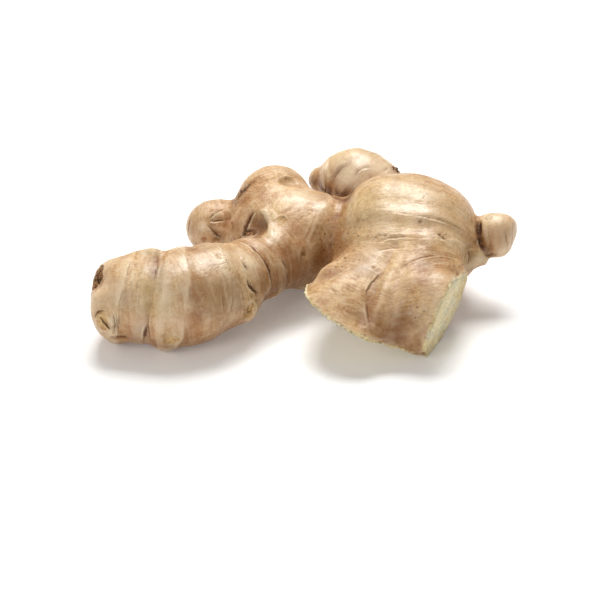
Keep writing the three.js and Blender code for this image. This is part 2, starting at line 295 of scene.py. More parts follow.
make_active(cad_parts["ginger_rhizome"])
bpy.ops.object.duplicate()
skin = bpy.context.object
skin.name = "skin"
skin.data.materials.clear()
bpy.ops.object.mode_set(mode="EDIT")
bpy.ops.mesh.select_all(action="SELECT")
bpy.ops.mesh.remove_doubles(threshold=MERGED_WITHIN)
bpy.ops.mesh.normals_make_consistent(inside=False)
bpy.ops.mesh.select_all(action="DESELECT")
bpy.ops.mesh.select_mode(type="EDGE")
bpy.ops.mesh.edges_select_sharp(sharpness=SHARP_EDGE)
bpy.ops.transform.edge_crease(value=1)
bpy.ops.object.mode_set(mode="OBJECT")
finish_with(skin, "SUBSURF", levels=1, render_levels=1)
finish_with(skin, "REMESH", mode="VOXEL", voxel_size=VOXEL)
print("skin:", len(skin.data.vertices), "points,", len(skin.data.polygons), "faces")

# %% Smooth away the facets, away from the cuts and the resting spots
SMOOTHING = 9
LEVELS = 10
KEPT_AT_CUTS = 0.6
KEPT_AT_TABLE = 0.2


def height_above(points, at, faces):
    """Each point's height above a plane, how far it is from a place on it, and the way it faces."""
    at = np.array(at) - CENTRE
    faces = np.array(faces) / np.linalg.norm(faces)
    return (points - at) @ faces, np.linalg.norm(points - at, axis=1), faces


def smooth_by(amount, rounds):
    """Smooths the skin, by an amount from 0 to 1 for each point."""
    group = skin.vertex_groups.new(name="smoothed")
    for level in range(LEVELS + 1):
        members = np.flatnonzero(np.round(amount * LEVELS) == level)
        group.add(members.tolist(), level / LEVELS, "REPLACE")
    finish_with(skin, "SMOOTH", factor=0.5, iterations=rounds, vertex_group=group.name)
    skin.vertex_groups.clear()


# Nothing moves close to a cut or to the table. Farther away the smoothing sets in gently.
points = coordinates(skin)
free = np.clip(points[:, 2] - KEPT_AT_TABLE, 0, 1)
for at, faces, reach in CUTS:
    height, far, _ = height_above(points, at, faces)
    beside = np.clip((np.abs(height) - KEPT_AT_CUTS) / 1.5, 0, 1)
    free = np.where(far < reach + 2, np.minimum(free, beside), free)
smooth_by(free, SMOOTHING)

# %% Even out the top of the body, which is round and full
TOP_OF_BODY = (38.5, -1.0, 46.3)
TOP_WIDTH = 13.5
TOP_SMOOTHING = 70

far = np.linalg.norm(coordinates(skin) - TOP_OF_BODY, axis=1)
smooth_by(np.exp(-((far / TOP_WIDTH) ** 2)), TOP_SMOOTHING)

# %% [markdown]
# ## Helpers for the fine relief
# Everything small is pushed in or out along the skin: the amount is worked out for all points at
# once. Uneven growth comes from a smooth noise. Hollows are found by comparing each point with the
# average of its neighbours.

# %% Relief helpers
EDGES = np.empty(len(skin.data.edges) * 2, np.int64)
skin.data.edges.foreach_get("vertices", EDGES)
EDGES = EDGES.reshape(-1, 2)
COUNT = len(skin.data.vertices)
NEIGHBOURS = np.bincount(EDGES.ravel(), minlength=COUNT)


def averaged(values, rounds):
    """Values spread over the neighbouring points, again and again."""
    values = np.array(values, float)
    if values.ndim == 2:
        return np.stack([averaged(column, rounds) for column in values.T], 1)
    for _ in range(rounds):
        total = np.bincount(EDGES[:, 0], values[EDGES[:, 1]], COUNT)
        total += np.bincount(EDGES[:, 1], values[EDGES[:, 0]], COUNT)
        values = 0.4 * values + 0.6 * total / NEIGHBOURS
    return values


def uneven(points, size, shift=0.0):
    """A smooth random number between about -1 and 1 that changes over a size in millimetres."""
    return np.array([noise.noise(p) for p in (points / size + shift).tolist()])


def step(low, high, values):
    """0 below low, 1 above high, and smooth between them. low may be the larger."""
    t = np.clip((values - low) / (high - low), 0, 1)
    return t * t * (3 - 2 * t)


def bell(values, width):
    """1 where the value is 0, falling off over a width."""
    return np.exp(-((values / width) ** 2))


# %% Where every point of the skin is on its finger
FINGERS_MEET_OVER = 1.6

points = coordinates(skin)
outward = normals(skin)
distances, places = zip(*(growth_of(points, rows) for rows in GROWTH.values()))
distances = np.array(distances)
weights = np.exp(-(distances - distances.min(0)) / FINGERS_MEET_OVER)
weights /= weights.sum(0)
growth = np.einsum("fn,fnc->nc", weights, np.array(places))
print("along the fingers: 0 to", round(growth[:, 0].max()), "mm")

# %% [markdown]
# ## Rings, lips and creases
# The lip is about a fifth of a millimetre high, which one just feels with a fingernail. Every ring
# wanders, and its lip is torn here and there. Between the large rings lie faint ones, a few
# millimetres apart, that follow the growth of each finger. The mesh is too coarse for a line as thin
# as a hair, so every point also keeps its distance to the nearest line. The finish draws the line
# from that distance, which changes evenly between points and so stays sharp.

# %% Rings
LIP_OFFSET = 0.85
LIP_HEIGHT = 0.22
CREASE_DEPTH = 0.34
FAINT_SPACING = 4.3
FAINT_HEIGHT = 0.028
FAINT_DEPTH = 0.015
WRINKLE_SPACING = 1.35
WRINKLE_HEIGHT = 0.014
OUT_OF_REACH = 99

relief = np.zeros(COUNT)
line_offset = np.full(COUNT, 9.0)
line_strength = np.zeros(COUNT)


def draw_line(offset, strength):
    """Notes the signed distance to a line wherever no other line is nearer."""
    nearer = (np.abs(offset) < np.abs(line_offset)) & (strength > 0.03)
    line_offset[nearer] = offset[nearer]
    line_strength[nearer] = strength[nearer]


wander = 1.5 * uneven(points, 13, 3.0) + 0.35 * uneven(points, 3.1, 9.0)
torn = 0.6 + 0.9 * uneven(points, 6, 21.0)
ahead_of_ring = {}
for name, through, faces, reach, sharp, side in RINGS:
    height, far, _ = height_above(points, through, faces)
    ahead = side * (height + wander) + (LIP_OFFSET if side > 0 else 0)
    ahead_of_ring[name] = np.where(far < reach, side * ahead, OUT_OF_REACH)
    strength = sharp * (1 - step(reach - 4, reach, far)) * np.clip(torn, 0.15, 1.2)
    relief += LIP_HEIGHT * strength * bell(ahead - LIP_OFFSET, 0.65)
    relief -= CREASE_DEPTH * strength * bell(ahead, 0.55)
    draw_line(ahead, strength)

faint = growth[:, 0] + 1.4 * uneven(points, 9, 5.0) + 0.3 * uneven(points, 2.2, 2.0)
from_faint = np.abs((faint / FAINT_SPACING) % 1 - 0.5) * FAINT_SPACING
faint_lip = bell(from_faint, 0.42) * np.clip(0.25 + 0.9 * uneven(points, 11, 31.0), 0, 1)
relief += FAINT_HEIGHT * faint_lip - FAINT_DEPTH * bell(from_faint - 0.9, 0.5)
wrinkle = np.sin(faint * 2 * math.pi / WRINKLE_SPACING + 2.5 * uneven(points, 3, 1.0))
relief += WRINKLE_HEIGHT * wrinkle * (0.2 + step(0.05, 0.5, uneven(points, 12, 44.0)))
relief += 0.07 * uneven(points, 2.6, 12.0) + 0.12 * uneven(points, 6.5, 8.0)
print("ring lines near", int((line_strength > 0.3).sum()), "points")

# %% [markdown]
# ## Marks seen in the photograph
# Cracks, pits and scars belong to this one root. Each is put where the photograph shows it: a line
# of sight from the camera through a pixel is followed until it meets the skin. What colours or
# roughens the skin is kept in layers, one number for each point, which the finish reads later.

# %% Sight a pixel of the photograph on the skin
bpy.context.view_layer.update()
camera_right = Vector((1, 0, 0))
camera_up = to_camera.cross(camera_right)
PIXELS_PER_UNIT = LENS / SENSOR * FRAME_PIXELS
SHORTEST = 1e-6


def on_skin(x, y):
    """The point of the skin, in millimetres, that the camera sees at a pixel, and its normal."""
    half = FRAME_PIXELS / 2
    ray = camera_right * ((x - half) / PIXELS_PER_UNIT) - camera_up * ((y - half) / PIXELS_PER_UNIT)
    hit, place, normal, _ = skin.ray_cast(camera.location, (ray - to_camera).normalized())
    if not hit:
        print("no skin at pixel", x, y)
        return None, None
    return np.array(place) / MM, np.array(normal)


def sighted(pixels):
    """The points of the skin that are seen at a row of pixels."""
    seen = [on_skin(*pixel)[0] for pixel in pixels]
    return np.array([place for place in seen if place is not None])


def follow_line(line):
    """Signed distance of every point to a line over the skin, and how far along it the point is."""
    best = np.full(COUNT, FAR_AWAY)
    share = np.zeros(COUNT)
    for n, (a, b) in enumerate(zip(line, line[1:])):
        length = max(np.linalg.norm(b - a), SHORTEST)
        along = (b - a) / length
        t = np.clip((points - a) @ along / length, 0, 1)
        offset = points - a - t[:, None] * (b - a)
        distance = np.linalg.norm(offset, axis=1)
        side = np.sign((np.cross(along, outward) * offset).sum(1))
        nearer = distance < np.abs(best)
        best[nearer] = (distance * np.where(side == 0, 1, side))[nearer]
        share[nearer] = (n + t[nearer]) / (len(line) - 1)
    return best, share


# %% Layers that the finish reads
# Besides stains, the brown layer holds painted shade and the pale layer painted highlights.
STAIN_AND_PAINTED_LIGHT_KINDS = ("brown", "pink", "grey", "olive", "pale", "speckled", "crumpled", "glossy", "matte")
layers = {kind: np.zeros(COUNT) for kind in (*STAIN_AND_PAINTED_LIGHT_KINDS, "deep_shade", "dark", "scar", "scar_line")}
scar_edge = np.full(COUNT, 3.0)
crumble = uneven(points, 1.1, 6.0)


def mark(layer, amount):
    """Raises a layer to an amount, wherever the layer is lower."""
    layers[layer] = np.maximum(layers[layer], amount)


# %% Cracks and thin creases
CRACK_LIP = 0.12
CRACK_DEPTH = 0.4
CRACKS = {
    # name: sharpness, pixels
    "stub, upper": (0.45, [(388, 270), (379, 275), (371, 284), (367, 291), (366, 301)]),
    "stub, lower": (0.4, [(366, 298), (367, 311), (369, 324), (370, 334)]),
    "stub ridge": (0.12, [(411, 263), (400, 280), (392, 296), (388, 315), (386, 334)]),
    "near the right cut": (0.15, [(432, 268), (424, 284), (414, 298), (408, 318)]),
    "beside the right cut": (0.15, [(452, 276), (440, 286), (430, 300), (421, 318)]),
    "above the flap": (0.2, [(345, 262), (330, 272), (318, 281)]),
    "flap, short": (0.3, [(327, 284), (335, 291), (337, 299)]),
    "flap, short 2": (0.3, [(330, 289), (338, 293)]),
    "left finger, dark": (0.8, [(247, 279), (249, 286), (253, 290), (258, 293)]),
    "left finger, dash": (0.5, [(241, 259), (244, 265), (248, 271)]),
    "left finger, long": (0.2, [(236, 248), (241, 260), (247, 274), (255, 292), (257, 304)]),
    "left finger, faint": (0.3, [(223, 289), (223, 302), (225, 315)]),
    "left finger, foot": (0.9, [(147, 326), (145, 334), (144, 342)]),
    "left finger, foot 2": (0.5, [(113, 312), (115, 324), (114, 334)]),
    "left finger, scar line": (0.7, [(99, 316), (103, 322), (107, 327), (111, 330)]),
    "left finger, scar arc": (0.5, [(94, 320), (96, 314), (100, 311), (106, 311)]),
    "left finger, low line": (0.4, [(112, 322), (114, 330), (113, 336)]),
    "fold of the neck": (0.6, [(240, 241), (255, 250), (266, 264), (271, 278), (271, 290)]),
    "neck, thin": (0.45, [(260, 242), (274, 252), (283, 263), (288, 276), (288, 288)]),
    "neck, tick": (0.6, [(280, 256), (284, 264), (288, 274)]),
    "hollow, upper edge": (0.9, [(243, 236), (246, 227), (250, 218), (255, 210)]),
    "hollow, lower edge": (1.0, [(243, 235), (250, 238), (263, 237)]),
    "hollow, collar": (0.3, [(266, 236), (267, 226), (264, 217), (257, 210)]),
    "collar, fold": (0.3, [(276, 246), (275, 234), (274, 224), (268, 212)]),
    "collar, fold 2": (0.2, [(280, 252), (278, 240), (277, 231)]),
    "rear left, upper": (0.5, [(208, 220), (213, 215), (219, 211), (226, 209)]),
    "rear left, middle": (0.6, [(208, 221), (216, 221), (225, 220), (233, 217)]),
    "rear left, short": (0.4, [(208, 213), (214, 210)]),
    "rear left, lower": (0.6, [(208, 224), (212, 230), (217, 235), (223, 239)]),
    "rear left, bottom": (0.6, [(200, 244), (212, 243), (224, 240)]),
    "rear left, tip": (0.4, [(191, 215), (189, 225), (190, 238)]),
    "shoulder, rough edge": (0.6, [(237, 203), (240, 196), (245, 190), (252, 183), (259, 177)]),
    "shoulder, line": (0.4, [(240, 200), (248, 190), (257, 181)]),
    "middle, line": (0.35, [(324, 203), (315, 218), (306, 238), (302, 256)]),
    "middle, front": (0.35, [(303, 244), (301, 256), (299, 270)]),
    "right slope": (0.5, [(310, 180), (321, 190), (334, 197), (348, 201)]),
    "rear finger, curl": (0.32, [(332, 184), (335, 176), (341, 168), (350, 164)]),
    "rear finger, long": (0.42, [(356, 177), (358, 171), (364, 168), (373, 168)]),
    "rear finger, right": (0.4, [(383, 172), (389, 168)]),
    "body, line": (0.36, [(388, 211), (402, 213), (420, 216), (440, 220), (456, 227), (470, 236)]),
    "body, pale line": (0.32, [(340, 237), (362, 240), (383, 239), (400, 237), (420, 238), (445, 239),
        (470, 240)]),
    "body, tick": (0.6, [(436, 233), (442, 237), (446, 241)]),
    "body, right": (0.42, [(451, 203), (459, 209), (466, 214)]),
    "body, small": (0.25, [(414, 202), (424, 206)]),
    "body, streak": (0.32, [(395, 275), (410, 262), (430, 256), (452, 257), (462, 262)]),
    "body, streak 2": (0.25, [(400, 283), (416, 268), (436, 262), (455, 264)]),
    "body, streak 3": (0.28, [(372, 253), (392, 248), (412, 249)]),
    "under the knob": (0.35, [(466, 262), (458, 268), (452, 266)]),
    "side of the knob": (1.0, [(480, 222), (479, 232), (480, 243), (485, 252)]),
    "knob": (0.4, [(483, 221), (500, 213)]),
    "knob, ring": (0.5, [(509, 219), (512, 230), (512, 242), (509, 251)]),
    "nub, ragged": (0.5, [(467, 250), (470, 256), (468, 261), (471, 266)]),
    "body, crescents": (0.45, [(371, 239), (378, 235), (385, 236), (389, 233)]),
    "body, crescent 2": (0.35, [(375, 242), (382, 241), (388, 238)]),
    "knob, second ring": (0.18, [(499, 221), (500, 234), (498, 246), (495, 254)]),
    "knob, wrinkle": (0.2, [(487, 222), (488, 232), (490, 242), (494, 250)]),
    "knob, band": (0.15, [(484, 246), (495, 250), (508, 248)]),
    "nub": (0.3, [(464, 249), (472, 247), (480, 250)]),
}
for sharp, pixels in CRACKS.values():
    offset, share = follow_line(sighted(pixels))
    offset = offset + 0.25 * wander * np.minimum(1, np.abs(offset))
    strength = sharp * (1 - 0.8 * np.abs(2 * share - 1) ** 3) * np.clip(torn + 0.35, 0.45, 1.2)
    strength = strength * (1 - step(1.0, 2.2, np.abs(offset)))
    relief += strength * (CRACK_LIP * bell(offset - LIP_OFFSET, 0.6) - CRACK_DEPTH * bell(offset, 0.55))
    draw_line(offset, strength)
print(len(CRACKS), "cracks and creases")

# %% Frayed lines, where a dry scale tore off
FRAYED_HEIGHT = 0.9
FRAYED = {
    # name: half width, pixels
    "edge of the shoulder": (1.15, [(236, 204), (239, 197), (244, 190), (251, 184), (258, 178)]),
    "end of the rear left finger": (0.5, [(209, 226), (214, 234), (222, 240)]),
    "under the knob": (0.6, [(485, 254), (490, 256), (495, 255)]),
    "foot of the neck": (0.5, [(247, 300), (252, 304), (256, 300)]),
    "left of the nub": (0.6, [(468, 250), (470, 256), (468, 262)]),
    "body, left": (0.35, [(330, 232), (331, 246), (327, 262)]),
}
for half_width, pixels in FRAYED.values():
    frayed = bell(follow_line(sighted(pixels))[0], half_width)
    relief += FRAYED_HEIGHT * crumble * frayed
    mark("dark", 0.85 * frayed * step(-0.1, 0.25, crumble))
print(len(FRAYED), "frayed lines")

# %% Soft folds, raised and mostly paler than the skin beside them, and dents; the paleness is partly pale skin and partly painted highlight
FOLDS = {
    # name: height, or depth if less than 0, half width, pixels
    "collar": (0.99, 1.4, [(261, 208), (268, 217), (271, 229), (273, 242)]),
    "collar, right": (0.4, 0.8, [(268, 209), (274, 214), (276, 222)]),
    "rear left, upper": (0.2, 0.8, [(208, 216), (216, 214), (224, 214)]),
    "rear left, lower": (0.2, 0.8, [(212, 226), (220, 230), (229, 232)]),
    "rear left, right": (0.15, 0.8, [(226, 208), (231, 214), (236, 224)]),
    "neck, flake": (0.4, 0.5, [(281, 257), (285, 265), (288, 276)]),
    "right end of the finger": (0.15, 1.2, [(262, 246), (270, 262), (271, 284), (264, 300)]),
    "stub ridge": (0.28, 3.0, [(414, 264), (401, 284), (394, 305), (390, 330)]),
    "stub ridge 2": (0.2, 2.4, [(440, 272), (428, 290), (419, 310), (412, 332)]),
    "middle": (0.08, 0.7, [(327, 201), (317, 218), (308, 240), (303, 264)]),
    "bud": (0.6, 1.3, [(246, 300), (252, 303), (257, 310)]),
    "dent above the flap": (-1.7, 6.5, [(300, 288), (312, 282), (328, 271), (345, 260), (360, 252)]),
    "dent beside the bud": (-0.8, 2.6, [(118, 257), (130, 255), (141, 254)]),
    "bud on the left finger": (1.0, 2.2, [(149, 254), (158, 252), (164, 254)]),
    "dent under the neck": (-1.4, 3.0, [(262, 303), (270, 298), (279, 294)]),
    "dent beside the knob": (-1.2, 1.1, [(479, 220), (479, 232), (481, 244), (486, 253)]),
    "dent behind the scale": (-0.5, 1.2, [(330, 186), (334, 177), (342, 169), (351, 164)]),
    "dent in the crook": (-0.9, 1.8, [(314, 184), (323, 190), (335, 196), (345, 199)]),
    "notch of the left end": (-0.8, 1.6, [(96, 278), (94, 290)]),
    "rough edge of the shoulder": (0.8, 0.9, [(235, 203), (238, 196), (243, 190), (249, 184)]),
    "bud of the rear finger": (1.2, 1.1, [(394, 168), (396, 170), (397, 172)]),
    "rear finger, band": (0.8, 1.5, [(325, 164), (326, 173), (331, 183)]),
}
for height, half_width, pixels in FOLDS.values():
    offset, share = follow_line(sighted(pixels))
    strength = (1 - np.abs(2 * share - 1) ** 3) * bell(offset, half_width)
    relief += height * strength
    # A raised fold gets a pale mark, partly pale skin and partly painted highlight.
    if 0 < height < 1:
        mark("pale", min(1.5 * height, 1) * strength)
print(len(FOLDS), "folds and dents")

# %% Scars, pits and eyes
INSIDE = (0.8, 1.1)
SCAR_KINDS = {
    # kind: height of the rim, depth inside, height of the crumbs, strength of the outline, and its
    # layers, each with a strength and the part of the scar's radius over which it fades out
    "eye": (0.25, 0.35, 0, 0.8, [("scar", 0.3, INSIDE)]),
    "oval": (0.25, 0.35, 0, 0.25, [("scar", 0.3, INSIDE)]),
    "dry": (0.25, 0.35, 0.25, 0.8, [("scar", 0.9, INSIDE)]),
    "patch": (0.12, 0.2, 0.2, 0, [("scar", 0.65, INSIDE)]),
    "pale patch": (0.12, 0.2, 0.2, 0.5, [("scar", 0.65, INSIDE)]),
    # The brown pit gets painted shade deep in its middle.
    "brown pit": (0, 0.7, 0, 0, [("brown", 1.2, INSIDE), ("deep_shade", 0.6, (0.3, 0.9))]),
    "rough": (0.5, 0.7, 1.9, 0.9, [("dark", 1, INSIDE)]),
    "dot": (0, 0.3, 0, 0, [("dark", 0.55, INSIDE)]),
    "hollow": (0.35, 0.5, 0.9, 0.6, [("dark", 1, (0.5, 1.15))]),
}
SCARS = {
    # name: pixel, the way it lies, half length and half width in millimetres, kind
    "left end": ((98, 279), (0.1, 0.2, 1), 5.4, 3.4, "rough"),
    "left end, low": ((102, 321), (0.3, 0, -1), 4.2, 2.6, "patch"),
    "left foot": ((119, 338), (1, 0.1, 0.2), 3.4, 1.9, "brown pit"),
    "belly": ((172, 340), (1, 0, -0.1), 3.6, 2.3, "pale patch"),
    "bud": ((251, 308), (0.5, 0, 1), 2.6, 2.0, "dry"),
    "bud, lower": ((247, 316), (0.8, 0, 1), 1.8, 1.3, "dry"),
    "ring mark": ((221, 256), (1, 0.2, 0), 1.9, 1.4, "eye"),
    "eye": ((281, 222), (1, 0.3, 0), 2.3, 2.2, "eye"),
    "oval": ((289, 184), (1, 0.2, 0.4), 4.6, 2.9, "oval"),
    "hollow": ((249, 233), (1, 0.1, 0.1), 2.6, 1.6, "hollow"),
    "rear finger end": ((396, 170), (0.3, 0, 1), 1.8, 1.2, "rough"),
    "rear left spot": ((204, 239), (1, 0, 0.2), 1.3, 0.9, "dot"),
    "rear left pit": ((217, 239), (1, 0, 0.2), 1.8, 0.8, "dot"),
    "under the knob": ((489, 255), (1, 0, 0), 1.6, 0.8, "dot"),
    "knob speck": ((488, 219), (1, 0, 0.2), 1.5, 1.0, "eye"),
    "body speck": ((420, 222), (1, 0.2, 0), 0.8, 0.7, "dot"),
    "stub speck": ((373, 267), (1, 0.2, 0), 0.8, 0.7, "dot"),
    "middle speck": ((304, 254), (1, 0, 0.4), 0.8, 0.8, "dot"),
}


def scar_shape(at, facing, lies, half_long, half_wide):
    """How far each point is from the middle of a scar, 1 on its rim."""
    lies = np.array(lies, float)
    lies -= (lies @ facing) * facing
    lies /= np.linalg.norm(lies)
    across = np.cross(facing, lies)
    offset = points - at
    around = np.hypot(offset @ lies / half_long, offset @ across / half_wide)
    return np.where(np.abs(offset @ facing) < 1.2 * half_long + 1, around, 9)


fray = 0.20 * uneven(points, 1.6, 4.0) + 0.22 * uneven(points, 3.4, 14.0)
broken = step(-0.25, 0.3, uneven(points, 1.9, 24.0))
for pixel, lies, half_long, half_wide, kind in SCARS.values():
    at, facing = on_skin(*pixel)
    if at is None:
        continue
    rim_height, depth, crumbs, outlined, painted_layers = SCAR_KINDS[kind]
    around = scar_shape(at, facing, lies, half_long, half_wide) + fray
    inside = 1 - step(*INSIDE, around)
    relief += rim_height * bell(around - 1, 0.2) - depth * inside + crumbs * crumble * inside
    for layer, strength, fades in painted_layers:
        mark(layer, strength * (1 - step(*fades, around)))
    if outlined:
        edge = (around - 1) * half_wide
        nearer = np.abs(edge) < np.abs(scar_edge)
        scar_edge[nearer] = edge[nearer]
        layers["scar_line"][nearer] = outlined * broken[nearer]
print(len(SCARS), "scars")
